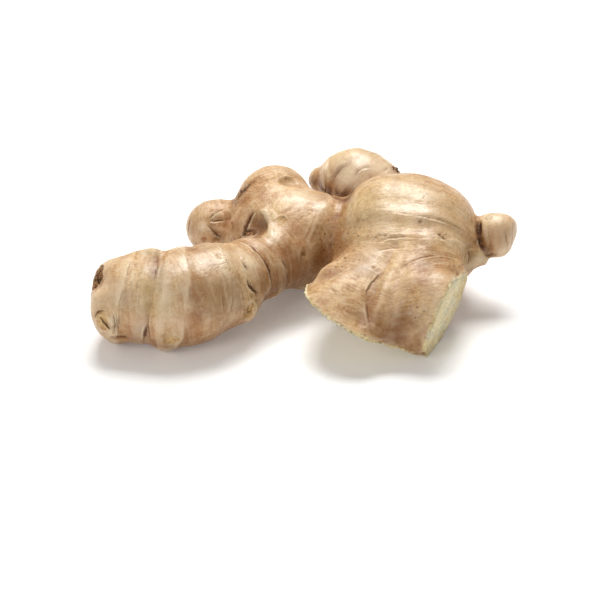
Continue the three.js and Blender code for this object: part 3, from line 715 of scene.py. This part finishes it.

# %% [markdown]
# ## Stains and painted light
# The skin is not one colour. It is browner on the fronts and undersides of the fingers and in the
# crooks between them, partly from brown stains and partly from painted shade, greyish where the
# skin is thick, olive beside the rings and pink over bruised flesh. Pale patches are partly pale
# papery skin and partly painted highlights where the skin shines. Each patch lies softly round a
# place on the skin. Its size is in millimetres. A zone is such a patch that starts sharply at a ring
# and fades out on one side of it. Four kinds are no colours: they make the skin speckled, crumpled,
# glossy or matte.

# %% Stains, painted shade and painted highlights
STAINS_AND_PAINTED_LIGHT = {
    # kind: (x pixel, y pixel, radius, strength)
    # brown: partly brown stains, partly painted shade on the fronts, the low sides and in the crooks
    "brown": [
        (128, 300, 3.5, 0.4), (160, 298, 3, 0.3), (168, 342, 2, 0.2), (191, 232, 4, 0.5),
        (195, 315, 6, 0.7), (200, 290, 9, 0.8), (215, 305, 9, 0.9), (222, 230, 5, 0.5), (222, 296, 8, 1),
        (228, 315, 7, 0.6), (232, 295, 7, 0.7), (235, 200, 2.2, 1.2), (236, 225, 5, 0.7),
        (239, 194, 2, 1.1), (245, 200, 5, 0.7), (245, 208, 5, 0.6), (246, 187, 2, 0.9), (248, 198, 6, 0.5),
        (249, 219, 2.2, 0.8), (254, 228, 3.2, 1.1), (255, 222, 2.5, 0.9), (258, 228, 2.6, 1.3),
        (258, 233, 2.5, 1), (260, 195, 6, 0.4), (262, 262, 4, 0.5), (263, 285, 6, 0.9), (272, 248, 6, 0.7),
        (280, 288, 9, 1.2), (285, 250, 7, 0.8), (295, 275, 11, 1.2), (300, 215, 5, 0.4), (300, 232, 8, 0.7),
        (313, 180, 3.5, 0.9), (317, 180, 2.2, 0.9), (320, 262, 9, 1.1), (322, 184, 2.5, 1.2),
        (326, 270, 5, 0.9), (330, 187, 3, 0.9), (330, 190, 3, 1.2), (330, 300, 6, 0.4), (333, 195, 6, 1),
        (335, 230, 4, 0.8), (336, 187, 3.2, 1.1), (337, 250, 8, 1), (338, 255, 4, 0.9),
        (340, 194, 3.2, 1.2), (342, 191, 3, 0.9), (343, 200, 3, 1), (345, 200, 5, 1), (345, 230, 5, 0.6),
        (346, 189, 3, 1.1), (350, 310, 8, 0.7), (372, 300, 5, 0.9), (374, 310, 4, 0.7), (376, 322, 7, 1),
        (378, 292, 5, 0.7), (385, 290, 4, 0.5), (392, 169, 2, 1.2), (395, 335, 9, 1.2), (400, 318, 9, 1.1),
        (404, 288, 4, 0.9), (405, 300, 3.5, 0.8), (412, 290, 3.5, 0.8), (420, 268, 5, 0.5),
        (420, 335, 6, 0.8), (422, 282, 4, 0.8), (430, 292, 4, 0.8), (440, 262, 7, 0.7), (455, 272, 6, 0.9),
        (468, 254, 1.8, 0.8), (474, 258, 5, 0.9), (480, 232, 2, 1.2), (483, 235, 3, 0.9),
        (487, 238, 3.5, 0.7), (489, 246, 3, 0.9), (493, 244, 4, 0.8), (503, 237, 4, 0.8),
    ],
    # Painted shade, darkest in the crooks, the pits, the hollow and the gaps beside the knob
    "deep_shade": [
        (236, 201, 1.4, 0.8), (243, 190, 1.4, 0.7), (244, 235, 1.6, 1), (249, 233, 2, 0.8),
        (254, 232, 2, 0.7), (275, 290, 5, 0.3), (300, 284, 7, 0.4), (313, 182, 1.6, 0.8),
        (320, 187, 2, 0.9), (328, 189, 1.8, 0.8), (328, 192, 2.2, 1), (337, 193, 2, 1), (337, 197, 2.4, 1),
        (345, 194, 2.2, 1), (345, 200, 2.2, 1), (350, 196, 1.8, 0.8), (396, 170, 1.8, 1.1),
        (400, 340, 8, 0.3), (455, 270, 3, 0.3), (479, 226, 1.3, 0.8), (480, 240, 1.8, 0.9),
        (485, 250, 1.8, 0.9), (490, 256, 1.5, 0.8),
    ],
    "pink": [
        (102, 298, 6, 0.5), (135, 325, 6, 0.5), (150, 325, 6, 0.6), (183, 322, 4.5, 1), (196, 330, 5, 0.5),
        (205, 238, 3, 0.9), (205, 292, 8, 0.3), (313, 174, 3, 0.9), (315, 174, 2.5, 0.8),
        (485, 240, 3, 0.6), (494, 236, 4, 0.9), (498, 244, 4, 0.9), (501, 236, 3.6, 1.2),
        (504, 240, 4.5, 1.2),
    ],
    "grey": [
        (122, 290, 6, 0.6), (138, 285, 6, 0.6), (157, 280, 2.5, 0.8), (159, 270, 6, 1), (160, 284, 5, 0.8),
        (246, 269, 1.2, 1), (345, 175, 6, 0.8), (365, 268, 6, 0.7), (375, 225, 7, 0.4),
    ],
    "olive": [
        (104, 320, 4, 0.8), (112, 260, 4, 0.5), (146, 290, 4, 0.9), (148, 305, 4, 0.7), (152, 253, 3, 0.9),
        (160, 305, 3, 0.5), (172, 341, 3.5, 0.9), (220, 300, 8, 0.5), (305, 292, 2.5, 0.7),
        (340, 157, 4, 0.5), (360, 152, 5, 0.4), (362, 235, 9, 0.35), (368, 205, 11, 0.5),
        (385, 216, 4, 0.4), (398, 212, 6, 0.3), (400, 188, 13, 0.4), (402, 222, 6, 0.3),
        (440, 238, 8, 0.35), (448, 212, 9, 0.5), (470, 260, 4, 0.9), (478, 258, 3.5, 0.8),
    ],
    # pale: partly pale papery skin, partly painted highlights where the skin shines
    "pale": [
        (105, 296, 8, 0.6), (110, 262, 5, 0.5), (120, 300, 5, 0.4), (160, 326, 3, 0.6), (168, 300, 4, 0.9),
        (168, 312, 4.5, 0.9), (172, 320, 3.5, 0.7), (200, 262, 5, 0.6), (201, 228, 2.2, 0.9),
        (226, 258, 6, 0.8), (241, 254, 4, 0.8), (247, 268, 4, 0.8), (250, 262, 4, 1.3), (254, 272, 3, 0.8),
        (268, 216, 2.2, 1.3), (268, 220, 2.2, 1.3), (268, 224, 4, 0.6), (271, 227, 2.4, 1.3),
        (272, 234, 2.2, 1.3), (273, 239, 2.2, 1.3), (278, 188, 2.5, 0.9), (288, 186, 3.2, 1.2),
        (302, 196, 6, 1), (320, 206, 4, 0.7), (324, 169, 1.7, 1.3), (325, 174, 3, 0.8),
        (328, 178, 1.9, 1.2), (338, 162, 5, 0.7), (342, 177, 3, 0.9), (350, 175, 6, 1.2),
        (350, 222, 3, 0.4), (352, 166, 7, 0.9), (355, 163, 8, 0.7), (362, 176, 5, 0.8), (366, 155, 5, 0.7),
        (366, 158, 5, 0.7), (370, 250, 5, 0.5), (373, 158, 6, 0.7), (376, 262, 4, 0.4), (382, 164, 6, 0.9),
        (384, 168, 6, 1.3), (386, 220, 6, 0.6), (388, 164, 4, 0.9), (395, 232, 9, 0.5), (395, 243, 6, 0.6),
        (400, 200, 12, 0.6), (412, 218, 6, 0.8), (413, 204, 8, 0.9), (430, 197, 6, 0.8), (430, 212, 9, 0.6),
        (436, 223, 6, 0.6), (440, 300, 5, 0.5), (455, 236, 6, 0.6), (455, 245, 4, 0.4), (462, 212, 4, 0.6),
        (474, 264, 3, 0.8), (479, 259, 2, 1), (487, 218, 2, 0.7), (492, 218, 2.6, 0.8),
        (499, 217, 2.6, 1.1), (500, 216, 3, 0.9), (503, 251, 2.2, 0.8), (506, 250, 2.4, 0.9),
    ],
    "speckled": [
        (192, 338, 3.5, 0.9), (245, 205, 5, 0.8), (330, 300, 4, 0.5), (332, 240, 9, 1), (338, 262, 8, 1),
        (358, 237, 6, 0.9), (378, 236, 5, 0.9), (420, 200, 5, 0.6), (420, 314, 4, 1), (445, 236, 4, 0.9),
        (452, 268, 6, 1),
    ],
    "crumpled": [
        (128, 328, 6, 0.9), (165, 318, 6, 0.8), (171, 322, 4, 1.3), (215, 262, 8, 1), (220, 225, 7, 1),
        (232, 266, 6, 1.3), (235, 258, 7, 1), (250, 308, 5, 1), (268, 228, 6, 1), (310, 215, 7, 0.6),
        (322, 290, 6, 1), (345, 240, 8, 0.7), (381, 236, 3.5, 1.3), (385, 310, 9, 0.6), (420, 205, 9, 0.7),
        (444, 237, 3.5, 1.3), (448, 262, 8, 0.9), (472, 258, 5, 1), (498, 236, 7, 1.1),
    ],
    "glossy": [
        (168, 312, 5, 0.5), (171, 318, 4, 1.1), (201, 229, 3, 0.9), (210, 262, 6, 0.6), (228, 258, 7, 0.8),
        (235, 262, 5, 1.1), (250, 262, 4.5, 1.1), (269, 220, 3.5, 1.2), (273, 238, 3, 1.2),
        (303, 196, 5, 1), (318, 206, 4, 0.7), (340, 178, 4, 0.6), (366, 162, 7, 0.8), (375, 258, 5, 0.5),
        (378, 162, 7, 0.8), (383, 165, 5, 0.7), (385, 285, 5, 0.4), (388, 162, 4, 0.8), (400, 196, 10, 0.8),
        (412, 205, 6, 1), (428, 204, 10, 0.9), (428, 206, 9, 1.2), (493, 217, 3.5, 0.8),
    ],
    "matte": [
        (110, 262, 7, 0.8), (135, 262, 6, 0.9), (145, 258, 9, 0.7), (165, 262, 6, 0.9), (243, 210, 8, 0.9),
        (270, 172, 6, 1), (270, 262, 7, 0.8), (272, 178, 8, 1), (300, 240, 10, 0.8), (335, 290, 8, 0.8),
        (345, 160, 6, 0.4), (352, 258, 8, 1), (365, 275, 6, 0.8), (395, 265, 6, 0.6), (398, 189, 7, 0.8),
        (430, 300, 6, 0.6), (440, 262, 8, 0.8), (465, 255, 5, 0.7), (494, 216, 4, 0.8),
    ],
}
ZONES = [
    # ring, kind, how far it reaches ahead of the ring, or behind it if less than 0, strength
    # Brown zones are partly painted shade, and pale zones partly painted highlights, as among the stains.
    ("left finger ridge", "brown", -15, 0.8),
    ("left finger ridge", "pale", 8, 0.65),
    ("left finger ridge", "glossy", 6, 0.8),
    ("left finger crease", "grey", 9, 0.8),
    ("left finger crease", "brown", 4, 0.5),
    ("left finger tip", "pale", 8, 0.8),
    ("left finger root", "pale", -5, 0.4),
    ("middle", "brown", 6, 0.7),
    ("body, upper", "brown", 5, 0.3),
    ("body, upper", "pale", -7, 0.4),
    ("right knob", "pink", 5, 1.0),
    ("right knob", "pale", -3, 0.6),
    ("rear finger, band", "pale", 3, 1.0),
    ("rear finger, band", "pale", -2, 0.8),
    ("rear finger", "brown", -5, 0.4),
    ("rear finger, tip", "pink", 5, 0.9),
    ("rear finger, tip", "brown", -2, 0.8),
]
soft = 1 + 0.35 * uneven(points, 5, 51.0) + 0.2 * uneven(points, 1.8, 52.0)
for kind, spots in STAINS_AND_PAINTED_LIGHT.items():
    for x, y, radius, strength in spots:
        at, _ = on_skin(x, y)
        if at is not None:
            far = np.linalg.norm(points - at, axis=1) * soft
            mark(kind, strength * bell(far, radius))
for ring, kind, width, strength in ZONES:
    far = ahead_of_ring[ring] / width
    fades = step(-0.02, 0.05, far) * (1 - step(0.35, 1, far))
    mark(kind, strength * fades * torn.clip(0.45, 1.1))

# %% Painted shade on the underside, and stains on the hidden side
UNDERSIDE_SHADE = 0.75
HIDDEN_CLOUDS = 0.7
CLOUD_SIZE = 14

# Painted shade: the skin is browner the more it faces down.
underside = step(0.35, -0.55, outward[:, 2])
mark("brown", UNDERSIDE_SHADE * underside * soft.clip(0.4, 1.3))
hidden_side = step(0.1, 0.7, outward[:, 1])
for number, kind in enumerate(STAIN_AND_PAINTED_LIGHT_KINDS):
    cloud = uneven(points, CLOUD_SIZE, 60.0 + 7 * number)
    mark(kind, HIDDEN_CLOUDS * hidden_side * step(0.15, 0.6, cloud))
print("points in each layer:", {name: int((amount > 0.5).sum()) for name, amount in layers.items()})

# %% [markdown]
# ## Small scars where nobody looked
# Root scars and buds cover the whole hand, also its back and underside. A few dozen small ones are
# strewn over the skin with a fixed seed, larger ones below, where roots grow.

# %% Strewn root scars
SEED = 7
DRAWN = 110
STREWN_HEIGHT = 0.10
STREWN_DEPTH = 0.18

picker = np.random.default_rng(SEED)
for index in picker.choice(COUNT, DRAWN, replace=False):
    if outward[index] @ np.array(to_camera) > 0.1:
        continue
    size = picker.uniform(0.4, 1.4) * (1.25 if outward[index, 2] < -0.2 else 0.6)
    lies = Vector(outward[index]).orthogonal().normalized()
    far = scar_shape(points[index], outward[index], lies, size, 0.6 * size) + 2 * fray
    relief += STREWN_HEIGHT * bell(far - 1, 0.3) - STREWN_DEPTH * (1 - step(0.5, 1.0, far))
    mark("scar", 0.5 * (1 - step(0.5, 1.1, far)))

# %% [markdown]
# ## Knife cuts
# The cut faces are flat. The right one shows pale, juicy flesh inside a thin skin. The lower one
# faces the table, and only its frayed pale rim is seen from the front.

# %% Cut faces
SKIN_STARTS_BELOW = 0.85
CORE_ROUNDS = 40

flesh = np.zeros(COUNT)
rim_jag = 0.55 * uneven(points, 3.3, 17.0) + 0.22 * uneven(points, 1.7, 27.0)
new_points = points.copy()
for at, faces, reach in CUTS:
    height, far, faces = height_above(points, at, faces)
    turned = outward @ faces
    on_face = (far < reach) & (np.abs(height) < 1.1) & (turned > 0.45)
    new_points[on_face] -= np.outer(height[on_face], faces)
    flesh = np.maximum(flesh, (far < reach) & (height > -SKIN_STARTS_BELOW - 0.8 * rim_jag))
    sideways = outward - np.outer(turned, faces)
    on_rim = (far < reach) * bell(height + 0.4, 1.1) * (np.abs(turned) < 0.9)
    new_points += sideways * (on_rim * (1.6 * rim_jag - 0.2))[:, None]
flesh_depth = averaged(flesh, CORE_ROUNDS)
flesh = averaged(flesh, 1)
relief *= 1 - step(0.2, 0.8, flesh)
relief += flesh * (0.12 * uneven(points, 0.9, 3.0) + 0.12 * uneven(points, 3, 5.0))

# %% Push the skin in and out, and rest it on the table
FLAT_BELOW = 0.35
MOST_OUTSIDE = 0.6

new_points += outward * relief[:, None]
resting = points[:, 2] < FLAT_BELOW
new_points[resting, 2] = points[resting, 2]
low, high = np.array(cad_box[0]) / MM, np.array(cad_box[1]) / MM
new_points = np.clip(new_points, low - MOST_OUTSIDE, high + MOST_OUTSIDE)
new_points[:, 2] = np.maximum(new_points[:, 2], 0.0)
skin.data.vertices.foreach_set("co", (new_points * MM).ravel())
skin.data.update()
print("relief from", round(relief.min(), 2), "to", round(relief.max(), 2), "mm")

# %% Hollows and edges of the finished skin
FINE_ROUNDS = 4
BROAD_ROUNDS = 40

outward = normals(skin)
new_points = coordinates(skin)
fine_hollow = ((averaged(new_points, FINE_ROUNDS) - new_points) * outward).sum(1)
broad_hollow = ((averaged(new_points, BROAD_ROUNDS) - new_points) * outward).sum(1)
hollow = np.clip(fine_hollow / 0.12, -1, 1) * 0.5 + np.clip(broad_hollow / 0.7, -1, 1.6)
hollow = averaged(hollow, 1)
print("hollow from", round(hollow.min(), 2), "to", round(hollow.max(), 2))

# %% Store the layers on the skin
NEAR_A_LINE = 3


def paint(name, values):
    """Stores one number, or three, for every point of the skin."""
    values = np.asarray(values, np.float32)
    kind = "FLOAT_VECTOR" if values.ndim == 2 else "FLOAT"
    layer = skin.data.attributes.new(name, kind, "POINT")
    layer.data.foreach_set("vector" if values.ndim == 2 else "value", values.ravel())


for name, amount in layers.items():
    paint(name, np.clip(amount, 0, 1.3))
paint("growth", growth / 10)
paint("line", np.clip(line_offset, -NEAR_A_LINE, NEAR_A_LINE))
paint("line_strength", line_strength * (1 - step(1.3, 2.0, np.abs(line_offset))))
paint("faint", faint_lip)
paint("scar_edge", np.clip(scar_edge, -NEAR_A_LINE, NEAR_A_LINE))
paint("flesh", flesh)
paint("flesh_depth", flesh_depth)
paint("hollow", hollow)
print(len(skin.data.attributes), "attributes on the skin")

# %% [markdown]
# ## The finish of ginger skin
# Ginger skin is thin and papery, tan to straw yellow, with pinkish brown where it lies close to the
# flesh, and it has a soft sheen. Its colour is built up from broad patches, streaks that run with
# the growth of the finger, fine ring lines, pores, painted shade in every hollow and painted
# highlights on the ridges.

# %% Shader maths


class Sum:
    """Wraps a shader socket so that nodes can be written as sums."""

    tree = None

    def __init__(self, socket):
        self.socket = socket

    @classmethod
    def node(cls, kind, inputs=(), output=0, **settings):
        """Adds a node, sets it, and feeds its sockets with values or links."""
        made = cls.tree.nodes.new(kind)
        for name, value in settings.items():
            setattr(made, name, value)
        for name, value in dict(inputs).items():
            if isinstance(value, Sum):
                cls.tree.links.new(value.socket, made.inputs[name])
            else:
                made.inputs[name].default_value = value
        return cls(made.outputs[output])

    def maths(self, operation, *others):
        return Sum.node("ShaderNodeMath", dict(enumerate((self, *others))), operation=operation)

    def __add__(self, other):
        return self.maths("ADD", other)

    def __sub__(self, other):
        return self.maths("SUBTRACT", other)

    def __rsub__(self, other):
        return Sum.node("ShaderNodeMath", {0: other, 1: self}, operation="SUBTRACT")

    def __mul__(self, other):
        return self.maths("MULTIPLY", other)

    def __abs__(self):
        return self.maths("ABSOLUTE")

    __radd__ = __add__
    __rmul__ = __mul__

    def clipped(self):
        return Sum.node("ShaderNodeClamp", {"Value": self})

    def between(self, low, high):
        """0 where this number is low, 1 where it is high, and smooth between them."""
        return Sum.node(
            "ShaderNodeMapRange",
            {"Value": self, "From Min": low, "From Max": high},
            interpolation_type="SMOOTHSTEP",
        )


def painted(name, output="Fac"):
    """A layer stored on the skin."""
    return Sum.node("ShaderNodeAttribute", attribute_name=name, output=output)


def mixed(amount, first, second):
    """The first colour, with the second over it by an amount."""
    sockets = {"Factor": amount, 6: first, 7: second}
    return Sum.node("ShaderNodeMix", sockets, output=2, data_type="RGBA")


def stretched(vector, x, y, z):
    return Sum.node("ShaderNodeVectorMath", {0: vector, 1: (x, y, z)}, operation="MULTIPLY")


def grain(vector, scale, detail=3.0, rough=0.55):
    sockets = {"Vector": vector, "Scale": scale, "Detail": detail, "Roughness": rough}
    return Sum.node("ShaderNodeTexNoise", sockets)


def cells(vector, scale):
    """The distance to the nearest of many strewn points."""
    return Sum.node("ShaderNodeTexVoronoi", {"Vector": vector, "Scale": scale}, output="Distance")


def rgb(*channels):
    """A colour as a screen shows it, each number 11 to 255, turned into light."""
    return tuple(((c / 255 + 0.055) / 1.055) ** 2.4 for c in channels) + (1,)


# %% Colours
TAN = rgb(202, 158, 107)
STRAW = rgb(223, 187, 132)
PINKISH = rgb(188, 134, 88)
GREYISH = rgb(181, 164, 147)
OLIVE = rgb(176, 150, 92)
BROWN = rgb(130, 77, 28)
CREVICE = rgb(82, 46, 20)
PALE = rgb(228, 206, 172)
SCAR_TAN = rgb(208, 168, 104)
BARK = rgb(66, 40, 24)
BARK_PALE = rgb(168, 122, 80)
FLESH = rgb(210, 190, 140)
FLESH_GREY = rgb(196, 194, 178)
FLESH_PALE = rgb(228, 214, 172)
FLESH_FIBRE = rgb(150, 126, 82)

# %% Patterns of the skin, from broad to fine
finish = bpy.data.materials.new("ginger_skin")
finish.use_nodes = True
Sum.tree = finish.node_tree
shader = finish.node_tree.nodes["Principled BSDF"]
place = Sum.node("ShaderNodeTexCoord", output="Object")
grown = painted("growth", "Vector")

broad = grain(place, 26, 2)
patches = grain(place, 75, 3)
mottle = grain(place, 260, 3, 0.6)
flecks = grain(place, 800, 2, 0.6)
dust = grain(place, 1900, 1, 0.5)
bands = grain(stretched(grown, 5.0, 0.45, 0.45), 2.0, 4, 0.62)
streaks = grain(stretched(grown, 0.6, 4.0, 4.0), 3.0, 4, 0.6)
creases = grain(stretched(grown, 19.0, 2.4, 2.4), 1.0, 3, 0.6)
wrinkles = grain(stretched(grown, 7.0, 9.0, 9.0), 1.0, 3, 0.7)
PATTERNS = (
    # pattern, the number where the colour starts, where it is full, its strength, the colour
    (patches, 0.46, 0.68, 0.5, PINKISH),
    (grain(place, 41, 2), 0.56, 0.70, 0.45, GREYISH),
    (mottle, 0.46, 0.68, 0.36, BROWN),
    (mottle, 0.50, 0.32, 0.40, PALE),
    (bands, 0.47, 0.66, 0.34, BROWN),
    (bands, 0.48, 0.34, 0.26, PALE),
    (streaks, 0.47, 0.66, 0.12, BROWN),
    (flecks, 0.48, 0.68, 0.34, BROWN),
    (flecks, 0.47, 0.32, 0.26, PALE),
    (dust, 0.52, 0.70, 0.25, BROWN),
    (creases, 0.55, 0.68, 0.30, BROWN),
    (creases, 0.45, 0.32, 0.22, PALE),
)
colour = mixed(broad.between(0.38, 0.64), TAN, STRAW)
for pattern, start, full, strength, tint in PATTERNS:
    colour = mixed(pattern.between(start, full) * strength, colour, tint)

# %% Stains and painted light, pores, painted shade in hollows and painted highlights on ridges
# The brown tint is partly stains and partly painted shade, the pale tint partly pale skin and partly painted
# highlights, and the darkest tint is painted shade in crevices.
STAIN_AND_PAINTED_LIGHT_TINTS = {
    "brown": (BROWN, 0.72), "pink": (PINKISH, 0.6), "grey": (GREYISH, 0.6), "olive": (OLIVE, 0.6),
    "pale": (PALE, 0.6), "deep_shade": (CREVICE, 0.8),
}
for name, (tint, strength) in STAIN_AND_PAINTED_LIGHT_TINTS.items():
    colour = mixed((painted(name) * strength).clipped(), colour, tint)
dots = cells(place, 480).between(0.3, 0.12) * painted("speckled")
hollow_shading = painted("hollow")
colour = mixed(dots * 0.7, colour, CREVICE)
# Painted shade darkens every hollow, and a painted highlight lightens every ridge.
colour = mixed(hollow_shading.between(0.1, 1.2) * 0.6, colour, BROWN)
colour = mixed(hollow_shading.between(0.8, 1.9) * 0.8, colour, CREVICE)
colour = mixed(hollow_shading.between(-0.15, -0.9) * 0.35, colour, PALE)

# %% Lines, lips and scars
jitter = 0.9 * (flecks - 0.5) + 0.5 * (mottle - 0.5)
line = painted("line") + jitter
sharpness = painted("line_strength")
thin = (0.45 + 1.6 * (mottle - 0.5)) * sharpness
groove_mask = (thin - abs(line)).between(-0.25, 0.2) * sharpness.between(0.05, 0.75)
shade_mask = abs(line + 0.9).between(1.3, 0.2) * sharpness
lip_mask = abs(line - LIP_OFFSET).between(0.55, 0.1) * sharpness.between(0.1, 0.6)
outline = abs(painted("scar_edge") + jitter).between(0.4, 0.12)
outline = outline * (mottle + 0.5 * flecks).between(0.5, 0.8) * painted("scar_line")
bark_colour = mixed((0.6 * flecks + 0.4 * dust).between(0.47, 0.54), BARK, BARK_PALE)
colour = mixed(shade_mask * 0.45, colour, BROWN)
colour = mixed((lip_mask * 0.4 + painted("faint") * 0.3).clipped(), colour, PALE)
colour = mixed(painted("scar") * 0.75, colour, SCAR_TAN)
colour = mixed(painted("scar") * flecks.between(0.46, 0.62) * 0.6, colour, BROWN)
colour = mixed(outline * 0.8, colour, CREVICE)
colour = mixed(groove_mask * 0.9, colour, CREVICE)
colour = mixed(painted("dark"), colour, bark_colour)

# %% Flesh of the knife cuts, with its fibres and its thin brown rim
flesh_mask = painted("flesh")
fibre_lines = abs(grain(place, 420, 2, 0.5) - 0.5).between(0.05, 0.01)
core_ring = abs(painted("flesh_depth") + 0.06 * (mottle - 0.5) - 0.86).between(0.035, 0.0)
fibres = cells(place, 620).between(0.32, 0.1) + 0.5 * core_ring + 0.35 * fibre_lines * patches
fibres = fibres.clipped()
flesh_colour = mixed(grain(place, 90, 2).between(0.4, 0.6), FLESH, FLESH_PALE)
flesh_colour = mixed(grain(place, 150, 2).between(0.5, 0.66) * 0.45, flesh_colour, FLESH_GREY)
flesh_colour = mixed(fibres * 0.6, flesh_colour, FLESH_FIBRE)
flesh_colour = mixed(grain(place, 700, 3, 0.7).between(0.54, 0.68) * 0.6, flesh_colour, FLESH_FIBRE)
colour = mixed(flesh_mask.between(0.3, 0.62), colour, flesh_colour)
rim = abs(flesh_mask - 0.42).between(0.3, 0.05) * patches.between(0.44, 0.6)
rim = rim * (mottle + 0.4 * flecks).between(0.55, 0.8)
colour = mixed(rim * 0.5, colour, BROWN)

# %% Roughness, fine bumps and the dry varnish of the skin


def feed(name, value):
    """Links a sum to a socket of the skin's shader."""
    Sum.tree.links.new(value.socket, shader.inputs[name])


roughness = 0.43 - 0.14 * painted("glossy") + 0.14 * painted("matte")
roughness = roughness + 0.25 * (patches - 0.5) + 0.35 * (mottle - 0.5) + 0.3 * (flecks - 0.5)
roughness = roughness + 0.3 * groove_mask + 0.4 * painted("dark") + 0.15 * painted("speckled")
roughness = roughness + 0.25 * painted("scar") + 0.2 * flesh_mask

bumps = 0.24 * mottle + 0.22 * flecks + 0.16 * creases + 0.14 * wrinkles + 0.11 * bands
bumps = bumps + 0.04 * streaks + 0.08 * dust - 0.2 * dots
bumps = bumps - 1.3 * abs(grain(place, 330, 3, 0.65) - 0.5) * painted("crumpled")
bumps = bumps - 0.35 * fibres * flesh_mask + 0.3 * lip_mask - 0.4 * groove_mask - 0.25 * outline
bump_sockets = {"Height": bumps, "Strength": 0.75, "Distance": 0.0009}

varnish = 0.2 + 0.4 * painted("glossy") - 0.2 * painted("matte") - 0.12 * painted("brown")
varnish = varnish + 0.4 * (patches - 0.5) - 0.5 * groove_mask
varnish = varnish - 0.5 * painted("dark") - 0.4 * flesh_mask

feed("Base Color", colour)
feed("Roughness", roughness.clipped())
feed("Normal", Sum.node("ShaderNodeBump", bump_sockets, output="Normal"))
feed("Coat Weight", varnish.clipped())
set_sockets(shader, {
    "Coat Roughness": 0.3,
    "Subsurface Weight": 0.1,
    "Subsurface Radius": (1.0, 0.45, 0.2),
    "Subsurface Scale": 0.002,
    "Specular IOR Level": 0.38,
})

# %% Put the finish on the skin
skin.data.materials.append(finish)
for polygon in skin.data.polygons:
    polygon.use_smooth = True
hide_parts("ginger_rhizome")
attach(skin, "root")
print("skin finished with", len(finish.node_tree.nodes), "nodes")
